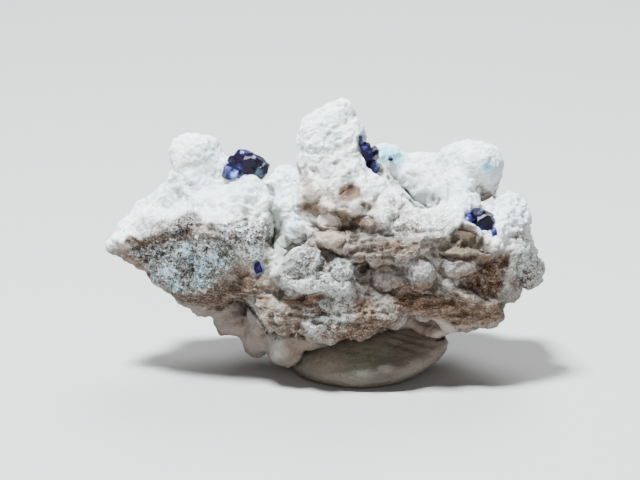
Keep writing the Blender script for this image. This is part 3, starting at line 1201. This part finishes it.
UNDERSIDE: tuple[Patch, ...] = (
    Patch(Tint.SMOKE, 0.95, 0.1, 0.25, (
        (-10.4, 3.3), (-8.8, 2.95), (-7.6, 2.7), (-6.6, 3.2), (-5.6, 2.1), (-5.2, 1.5), (-3.6, 1.3),
        (-2.0, 1.0), (-2.6, 0.3), (-3.6, -0.3), (-5.0, -0.1), (-6.6, 0.6), (-8.0, 1.9), (-9.6, 2.8))),
    Patch(Tint.PEARL, 0.3, 0.1, 0.25, ((-5.2, 1.6), (-4.4, 1.6), (-4.4, 0.5), (-5.0, 0.3))),
    Patch(Tint.TAN, 0.55, 0.2, 0.3, ((-4.3, 1.4), (-3.0, 1.3), (-2.4, 0.9), (-3.3, 0.4), (-4.2, 0.5))),
    Patch(Tint.MAUVE, 0.95, 0.1, 0.15, (
        (1.3, 2.0), (1.8, 2.38), (2.4, 2.32), (3.2, 2.42), (4.2, 1.95), (4.0, 1.0), (2.4, 1.0), (1.3, 1.6))),
)

# The patches in the order in which they are laid on.
PATCHES = (*GROUND, *LEFT_FACE, *PEAK_FOOT, *BAND, *SADDLE_RIM, *BROWN_LAYERS, *HOLLOW, *RIGHT_BLOCK, *SADDLE,
           *UNDERSIDE)


@dataclass
class MatrixStone:
    """The white matrix, with the relief and the zones that the photograph shows."""

    node: str = "matrix"
    cell: float = 0.092
    quick_cell: float = 0.16
    soften: int = 3
    gap: float = 0.16
    gap_cell: float = 0.11
    left_proud: float = 0.02
    most_triangles: int = 190000
    knobs: tuple[tuple[float, float], ...] = ((0.19, 0.90), (0.11, 0.45))
    knob_level: float = 0.35
    swell: Wave = Wave(0.16, 1.1, 1.0)
    fold: Wave = Wave(1.0, 0.60, 5.0)
    fold_level: float = 0.18
    fold_height: float = 0.18
    pin_size: float = 0.26
    pin_height: float = 0.26
    pin_level: float = 0.11
    bedding: Wave = Wave(0.17, 0.50, 2.0)
    bedding_stretch: tuple[float, float, float] = (0.40, 0.40, 1.9)
    grit: tuple[Wave, Wave] = (Wave(0.11, 0.30, 6.0), Wave(0.10, 0.17, 4.0))

    def make(self) -> bpy.types.Object:
        """Builds the stone from the frame's matrix.

        Returns:
            The piece.
        """
        stone = copy_of(self.node, "matrix_stone")
        self._close(stone)
        remesh(stone, self.cell, self.soften)
        self._carve(stone)
        self._roughen(stone)
        self._paint(stone)
        self._thin(stone)
        stand_in(stone, self.node, ChalkFinish().make())
        return stone

    def _close(self, stone: bpy.types.Object) -> None:
        """Fills the gaps that are too narrow for the real stone.

        Args:
            stone: The piece.
        """
        for push in (self.gap, self.left_proud - self.gap):
            remesh(stone, self.gap_cell, 1)
            write(stone, read(stone, "co") + push * read(stone, "normal"))

    def _thin(self, stone: bpy.types.Object) -> None:
        """Takes out triangles where the stone is even, down to the most it may have.

        Args:
            stone: The piece.
        """
        stone.data.calc_loop_triangles()
        share = self.most_triangles / len(stone.data.loop_triangles)
        if share < 1.0:
            fewer = stone.modifiers.new("Fewer", "DECIMATE")
            fewer.ratio = share
            apply_all(stone)

    @staticmethod
    def _carve(stone: bpy.types.Object) -> None:
        """Sets the marks and strokes into the side that the photograph shows.

        Args:
            stone: The piece.
        """
        skin = Skin.of(stone)
        bent = skin.bent(*RELIEF_WAVES)
        lift = np.zeros(len(skin.places))
        for mark in (*MARKS, *STROKES):
            lift += mark.lift(bent)
        lift *= skin.facing(0.0, 0.40)
        towards_camera = 0.5 * (skin.normals - SIGHT)
        write(stone, skin.places + towards_camera * lift[:, None])

    def _roughen(self, stone: bpy.types.Object) -> None:
        """Adds the granular, layered and crusty relief, each in its zone.

        Args:
            stone: The piece.
        """
        skin = Skin.of(stone)
        places = skin.places
        front = skin.facing(-0.2, 0.2)
        rough = np.full(len(places), 0.55)
        for patch in PATCHES:
            here = skin.inside(patch.outline, patch.soft) * front
            rough += (0.10 + 0.80 * patch.grit - rough) * here * patch.amount
        soft = 0.35 + 0.65 * soft_step(rough, 0.15, 0.50)
        for amount, outline in SMOOTH.rows:
            here = 1.0 - amount * skin.inside(outline, SMOOTH.soft) * front
            rough *= here
            soft *= here
        rough = np.maximum(rough, skin.within(JAGGED))
        knobs = sum((self.knob_level - cells_at(places, size) ** 2) * height for height, size in self.knobs)
        folds = (self.fold_level - np.abs(self.fold.at(places))) * self.fold_height
        pins = cells_at(places, self.pin_size) * self.pin_height - self.pin_level
        layers = self.bedding.at(places * np.array(self.bedding_stretch))
        grit = self.grit[0].at(places) + self.grit[1].at(places)
        lift = soft * (knobs + (self.swell.at(places) + folds)) + rough * grit
        lift = lift + skin.inside(CRUST, 0.3) * front * pins + skin.within(LAYERED) * front * layers
        write(stone, skin.lifted(lift))

    def _paint(self, stone: bpy.types.Object) -> None:
        """Paints where each colour of the stone lies.

        Args:
            stone: The piece.
        """
        straight = Skin.of(stone)
        skin = straight.bent(*COLOUR_WAVES)
        front = skin.facing(-0.35, 0.10)
        self._paint_tints(stone, skin, front)
        paint(stone, "crust", skin.inside(CRUST, 0.45) * front)
        paint(stone, "frost", skin.spots(FROST) * front)
        paint(stone, "scree", skin.within(SCREE) * front)
        paint(stone, "sea", skin.spots(SEA_SPOTS) * front)
        paint(stone, "streak", skin.within(STREAKS) * front)
        self._paint_lines(stone, straight, skin, front)
        paint(stone, "hollow", self._hollows(stone, 26, 0.22))
        paint(stone, "crease", self._hollows(stone, 5, 0.045))
        paint(stone, "halo", self._halos(skin.places))
        paint(stone, "stain", straight.spots(STAINS) * front)

    def _paint_tints(self, stone: bpy.types.Object, skin: Skin, front: np.ndarray) -> None:
        """Paints the tint of every point, and how white and how gritty it is.

        Args:
            stone: The piece.
            skin: Its skin, bent by the colours' waves.
            front: The mask of what the photograph shows.
        """
        tint, white, grit = self._hidden_colours(skin)
        for patch in PATCHES:
            here = skin.inside(patch.outline, patch.soft) * front * patch.amount
            tint = tint + (np.array(patch.tint.value) - tint) * here[:, None]
            white = white + (float(patch.tint is Tint.SNOW) - white) * here
            grit = grit + (patch.grit - grit) * here
        layer = stone.data.attributes.new("tint", "FLOAT_COLOR", "POINT")
        opaque = np.column_stack((tint, np.ones(len(tint)))).astype(np.float32)
        layer.data.foreach_set("color", opaque.ravel())
        paint(stone, "white", white)
        paint(stone, "grit", grit)

    @staticmethod
    def _paint_lines(stone: bpy.types.Object, straight: Skin, bent: Skin, front: np.ndarray) -> None:
        """Paints the dark cracks and dots, and the pale rims.

        Args:
            stone: The piece.
            straight: Its skin.
            bent: Its skin, bent by the colours' waves.
            front: The mask of what the photograph shows.
        """
        across, up = 0.5 * (bent.across + straight.across), 0.5 * (bent.up + straight.up)
        skin = replace(straight, across=across, up=up)
        shown = {Shape.CRACK: straight.spots(DARK_DOTS), Shape.RIDGE: np.zeros(len(skin.places))}
        for stroke in STROKES:
            shown[stroke.shape] = np.maximum(shown[stroke.shape], stroke.strength * stroke.trace(skin))
        paint(stone, "ink", shown[Shape.CRACK] * front)
        paint(stone, "rim", shown[Shape.RIDGE] * front)

    @staticmethod
    def _hidden_colours(skin: Skin) -> tuple[np.ndarray, np.ndarray, np.ndarray]:
        """The colours before the patches are laid on: white above, tan and cream below and behind.

        Args:
            skin: The stone's skin.

        Returns:
            The tints, how white and how gritty each point is.
        """
        places = skin.places
        behind = soft_step(skin.normals @ SIGHT, -0.1, 0.5)
        below = soft_step(Wave(0.35, 1.4, 31.0).at(places) - skin.normals[:, 2], 0.05, 0.65)
        pale = Wave(1.0, 2.6, 21.0).at(places) + Wave(0.5, 0.9, 27.0).at(places)
        cream = soft_step(pale, 0.05, 0.40) * behind * 0.7
        brown = soft_step(Wave(1.0, 3.1, 37.0).at(places), 0.20, 0.45)
        tan = np.clip(below * 0.9 + brown * behind * 0.5, 0.0, 1.0)
        tint = np.tile(np.array(Tint.SNOW.value), (len(places), 1))
        tint = tint + (np.array(Tint.CREAM.value) - tint) * cream[:, None]
        tint = tint + (np.array(Tint.TAN.value) - tint) * (0.85 * tan)[:, None]
        return tint, (1.0 - cream) * (1.0 - tan), 0.18 + 0.5 * np.maximum(cream, tan)

    @staticmethod
    def _hollows(stone: bpy.types.Object, rounds: int, deep: float) -> np.ndarray:
        """How deep each point lies below its surroundings.

        Args:
            stone: The piece.
            rounds: How often the surroundings are smoothed, which says how wide they are.
            deep: The depth that counts as 1, in millimetres.

        Returns:
            Numbers from 0, level or standing out, to 1, deep in a hollow.
        """
        places = read(stone, "co")
        ends = np.empty(len(stone.data.edges) * 2, dtype=np.int64)
        stone.data.edges.foreach_get("vertices", ends)
        first, second = ends.reshape(-1, 2).T
        links = np.bincount(ends, minlength=len(places))[:, None]
        smooth = places.copy()
        for _ in range(rounds):
            total = np.zeros_like(smooth)
            for axis in range(3):
                total[:, axis] += np.bincount(first, smooth[second, axis], len(places))
                total[:, axis] += np.bincount(second, smooth[first, axis], len(places))
            smooth = total / links
        depth = np.einsum("ij,ij->i", smooth - places, read(stone, "normal"))
        return soft_step(depth, 0.1 * deep, deep)

    @staticmethod
    def _halos(places: np.ndarray) -> np.ndarray:
        """How close each point is to the henmilite.

        Args:
            places: The stone's points.

        Returns:
            Numbers from 0, far off, to 1, touching.
        """
        nearest = np.full(len(places), np.inf)
        for node, item in frame["nodes"].items():
            if node.startswith("henmilite"):
                corners = read(item, "co") / MM
                low, high = corners.min(axis=0), corners.max(axis=0)
                half = (high - low) / 2.0
                away = (np.linalg.norm((places - (low + high) / 2.0) / half, axis=1) - 1.0) * half.mean()
                nearest = np.minimum(nearest, away)
        return 1.0 - soft_step(nearest, 0.0, 0.22)


# The henmilite

THIN_SPOTS: tuple[Spot, ...] = (
    (-7.15, 9.7, 0.34), (-6.95, 9.45, 0.3), (-6.65, 10.0, 0.22), (-7.3, 9.95, 0.15), (-6.25, 10.88, 0.22),
    (4.72, 7.5, 0.3), (4.85, 7.2, 0.15), (5.35, 6.9, 0.16), (6.05, 6.72, 0.3), (-0.62, 11.4, 0.2),
    (-0.4, 10.95, 0.16), (-0.15, 10.75, 0.12), (0.1, 10.05, 0.2), (0.15, 9.75, 0.18), (-5.67, 4.98, 0.17))
SEA_FACETS: tuple[Spot, ...] = (
    (-5.7, 9.75, 0.26), (-5.52, 9.45, 0.22), (-5.42, 10.2, 0.1), (-0.55, 11.2, 0.12), (0.12, 9.9, 0.1),
    (5.3, 7.45, 0.1), (5.05, 7.35, 0.06), (5.45, 7.88, 0.12), (6.05, 6.8, 0.14))
DUSTY_SPOTS: tuple[Spot, ...] = (
    (-6.92, 9.65, 0.26), (-6.62, 9.48, 0.18), (-6.55, 10.75, 0.12), (-5.95, 10.5, 0.1), (4.68, 7.42, 0.14))


@dataclass
class Henmilite:
    """One henmilite cluster: its flat faces are kept, and its edges catch the light."""

    node: str
    edge: float = 0.012
    flat_angle: float = 1.0
    edge_angle: float = 18.0
    finer: int = 2
    tone_factors: tuple[float, float, float] = (12.9898, 78.233, 37.719)
    finish: HenmiliteFinish = HenmiliteFinish()

    def make(self) -> bpy.types.Object:
        """Builds the cluster from the frame's node.

        Returns:
            The piece.
        """
        item = copy_of(self.node, self.node + "_crystals")
        flat = item.modifiers.new("Flat faces", "DECIMATE")
        flat.decimate_type = "DISSOLVE"
        flat.angle_limit = math.radians(self.flat_angle)
        bevel = item.modifiers.new("Edges", "BEVEL")
        bevel.width = self.edge
        bevel.segments = 1
        bevel.limit_method = "ANGLE"
        bevel.angle_limit = math.radians(self.edge_angle)
        apply_all(item)
        self._tone(item)
        finer = item.modifiers.new("Finer", "SUBSURF")
        finer.subdivision_type = "SIMPLE"
        finer.levels = self.finer
        apply_all(item)
        skin = Skin.of(item)
        paint(item, "thin", skin.spots(THIN_SPOTS))
        paint(item, "sea", skin.spots(SEA_FACETS))
        paint(item, "dusty", skin.spots(DUSTY_SPOTS))
        place = self.node.split("_", 1)[1].replace("_", " ")
        stand_in(item, self.node, self.finish.make("henmilite " + place))
        return item

    def _tone(self, item: bpy.types.Object) -> None:
        """Gives each face a tone that depends on its direction alone.

        Args:
            item: The cluster.
        """
        layer = item.data.attributes.new("tone", "FLOAT", "FACE")
        normals = [[round(part, 1) for part in face.normal] for face in item.data.polygons]
        mixed = [sum(factor * part for factor, part in zip(self.tone_factors, normal)) for normal in normals]
        layer.data.foreach_set("value", [abs(math.sin(number)) for number in mixed])


# The pad of putty

@dataclass
class PuttyPad:
    """The pad of putty, with the fine ridges that fingers left in it, and its spots of colour."""

    node: str = "putty_pad"
    cell: float = 0.085
    soften: int = 3
    ridge_height: float = 0.028
    ridge_waver: Wave = Wave(1.6, 2.4, 1.0)
    ridges_up: float = 2.6
    ridges_across: float = 0.9
    pressed: Wave = Wave(1.0, 1.9, 6.0)
    lumps: tuple[Wave, Wave] = (Wave(0.05, 1.1, 3.0), Wave(0.02, 0.4, 8.0))
    foot: float = 0.35
    dark: tuple[Spot, ...] = ((0.6, -0.1, 0.7),)
    green: tuple[Spot, ...] = ((-0.1, 0.7, 1.0), (0.6, 0.6, 0.8), (-0.9, 0.1, 0.8))
    plum: tuple[Spot, ...] = ((2.1, 0.9, 0.9), (1.4, 0.4, 0.7), (0.7, -0.15, 0.6))
    pale: tuple[Spot, ...] = ((-2.2, 0.0, 0.8),)
    rim: Outline = ((1.7, -0.6), (2.6, -0.1), (3.4, 0.5), (3.8, 1.1))
    rim_width: float = 0.22

    def make(self) -> bpy.types.Object:
        """Builds the pad from the frame's node.

        Returns:
            The piece.
        """
        pad = copy_of(self.node, "pressed_putty")
        remesh(pad, self.cell, self.soften)
        skin = Skin.of(pad)
        self._press(pad, skin)
        self._paint(pad, skin)
        select_only(pad)
        bpy.ops.object.shade_smooth()
        stand_in(pad, self.node, PuttyFinish().make())
        return pad

    def _press(self, pad: bpy.types.Object, skin: Skin) -> None:
        """Adds the ridges and lumps, and leaves the foot as it is.

        Args:
            pad: The pad.
            skin: Its skin before the ridges.
        """
        places = skin.places
        turns = places[:, 2] * self.ridges_up + places[:, 0] * self.ridges_across
        ridges = np.sin(2.0 * math.pi * (turns + self.ridge_waver.at(places))) * self.ridge_height
        here = soft_step(self.pressed.at(places), -0.15, 0.25)
        lumps = self.lumps[0].at(places) + self.lumps[1].at(places)
        write(pad, skin.lifted(soft_step(places[:, 2], 0.0, self.foot) * (ridges * here + lumps)))

    def _paint(self, pad: bpy.types.Object, skin: Skin) -> None:
        """Paints where the pad is dark, green, plum and pale.

        Args:
            pad: The pad.
            skin: Its skin before the ridges.
        """
        rim = skin.near(self.rim) / self.rim_width
        top = soft_step(skin.up, 0.4, 1.6)
        paint(pad, "low", 1.0 - soft_step(skin.up, -1.1, 0.7) + 0.5 * skin.spots(self.dark))
        paint(pad, "green", skin.spots(self.green))
        paint(pad, "plum", skin.spots(self.plum))
        paint(pad, "pale", 0.8 * np.exp(-rim * rim) + 0.5 * top + 0.9 * skin.spots(self.pale))


# The studio

@dataclass(frozen=True)
class Lamp:
    """A square soft light: its place and side in metres, its power in watts and its colour."""

    name: str
    place: tuple[float, float, float]
    size: float
    power: float
    tint: Colour

    def hang(self, target: Vector) -> None:
        """Hangs the lamp.

        Args:
            target: The place that it faces.
        """
        data = bpy.data.lights.new(self.name, "AREA")
        data.size = self.size
        data.energy = self.power
        data.color = self.tint
        lamp = bpy.data.objects.new(self.name, data)
        lamp.location = self.place
        lamp.rotation_euler = (target - Vector(self.place)).to_track_quat("-Z", "Y").to_euler()
        bpy.context.scene.collection.objects.link(lamp)


@dataclass
class Studio:
    """The pale floor, the soft lights and the camera."""

    floor_size: float = 1.2
    lens: float = 270.0
    sensor: float = 36.0
    nearest: float = 0.005
    lit: tuple[float, float, float] = (-0.002, 0.0, 0.006)
    sky: Colour = (0.92, 0.95, 1.0)
    sky_strength: float = 0.11
    lamps: tuple[Lamp, ...] = (
        Lamp("key", (-0.050, -0.016, 0.20), 0.040, 2.6, (0.93, 0.975, 1.0)),
        Lamp("fill", (0.02, -0.22, 0.05), 0.16, 0.40, (1.0, 0.94, 0.88)),
        Lamp("back", (0.03, 0.14, 0.14), 0.10, 0.45, (0.97, 0.99, 1.0)),
    )

    def make(self) -> None:
        """Builds the floor, the lights and the camera."""
        deselect()
        bpy.ops.mesh.primitive_plane_add(size=self.floor_size)
        floor = bpy.context.object
        floor.name = "floor"
        floor.data.materials.append(FloorFinish().make())
        self._camera()
        for lamp in self.lamps:
            lamp.hang(Vector(self.lit))
        world = bpy.data.worlds.new("studio")
        world.use_nodes = True
        background = world.node_tree.nodes["Background"]
        background.inputs["Color"].default_value = (*self.sky, 1.0)
        background.inputs["Strength"].default_value = self.sky_strength
        bpy.context.scene.world = world

    def _camera(self) -> None:
        """Sets the camera where the photograph was taken from."""
        across, up = VIEW_AIM
        target = Vector((across, 0.0, up / math.cos(VIEW_TILT))) * MM
        data = bpy.data.cameras.new("camera")
        data.lens = self.lens
        data.sensor_width = self.sensor
        data.clip_start = self.nearest
        camera = bpy.data.objects.new("camera", data)
        camera.location = target - Vector(SIGHT) * VIEW_DISTANCE * MM
        camera.rotation_euler = Vector(SIGHT).to_track_quat("-Z", "Y").to_euler()
        bpy.context.scene.collection.objects.link(camera)
        bpy.context.scene.camera = camera


def main() -> None:
    """Builds the specimen piece by piece."""
    logging.basicConfig(level=logging.INFO, format="%(message)s")
    pieces = [MatrixStone().make()]
    for node in sorted(frame["nodes"]):
        if node.startswith("henmilite"):
            pieces.append(Henmilite(node).make())
    pieces.append(PuttyPad().make())
    Studio().make()
    for piece in pieces:
        piece.data.calc_loop_triangles()
        log.info("%s: %d triangles", piece.name, len(piece.data.loop_triangles))


if __name__ == "__main__":
    main()
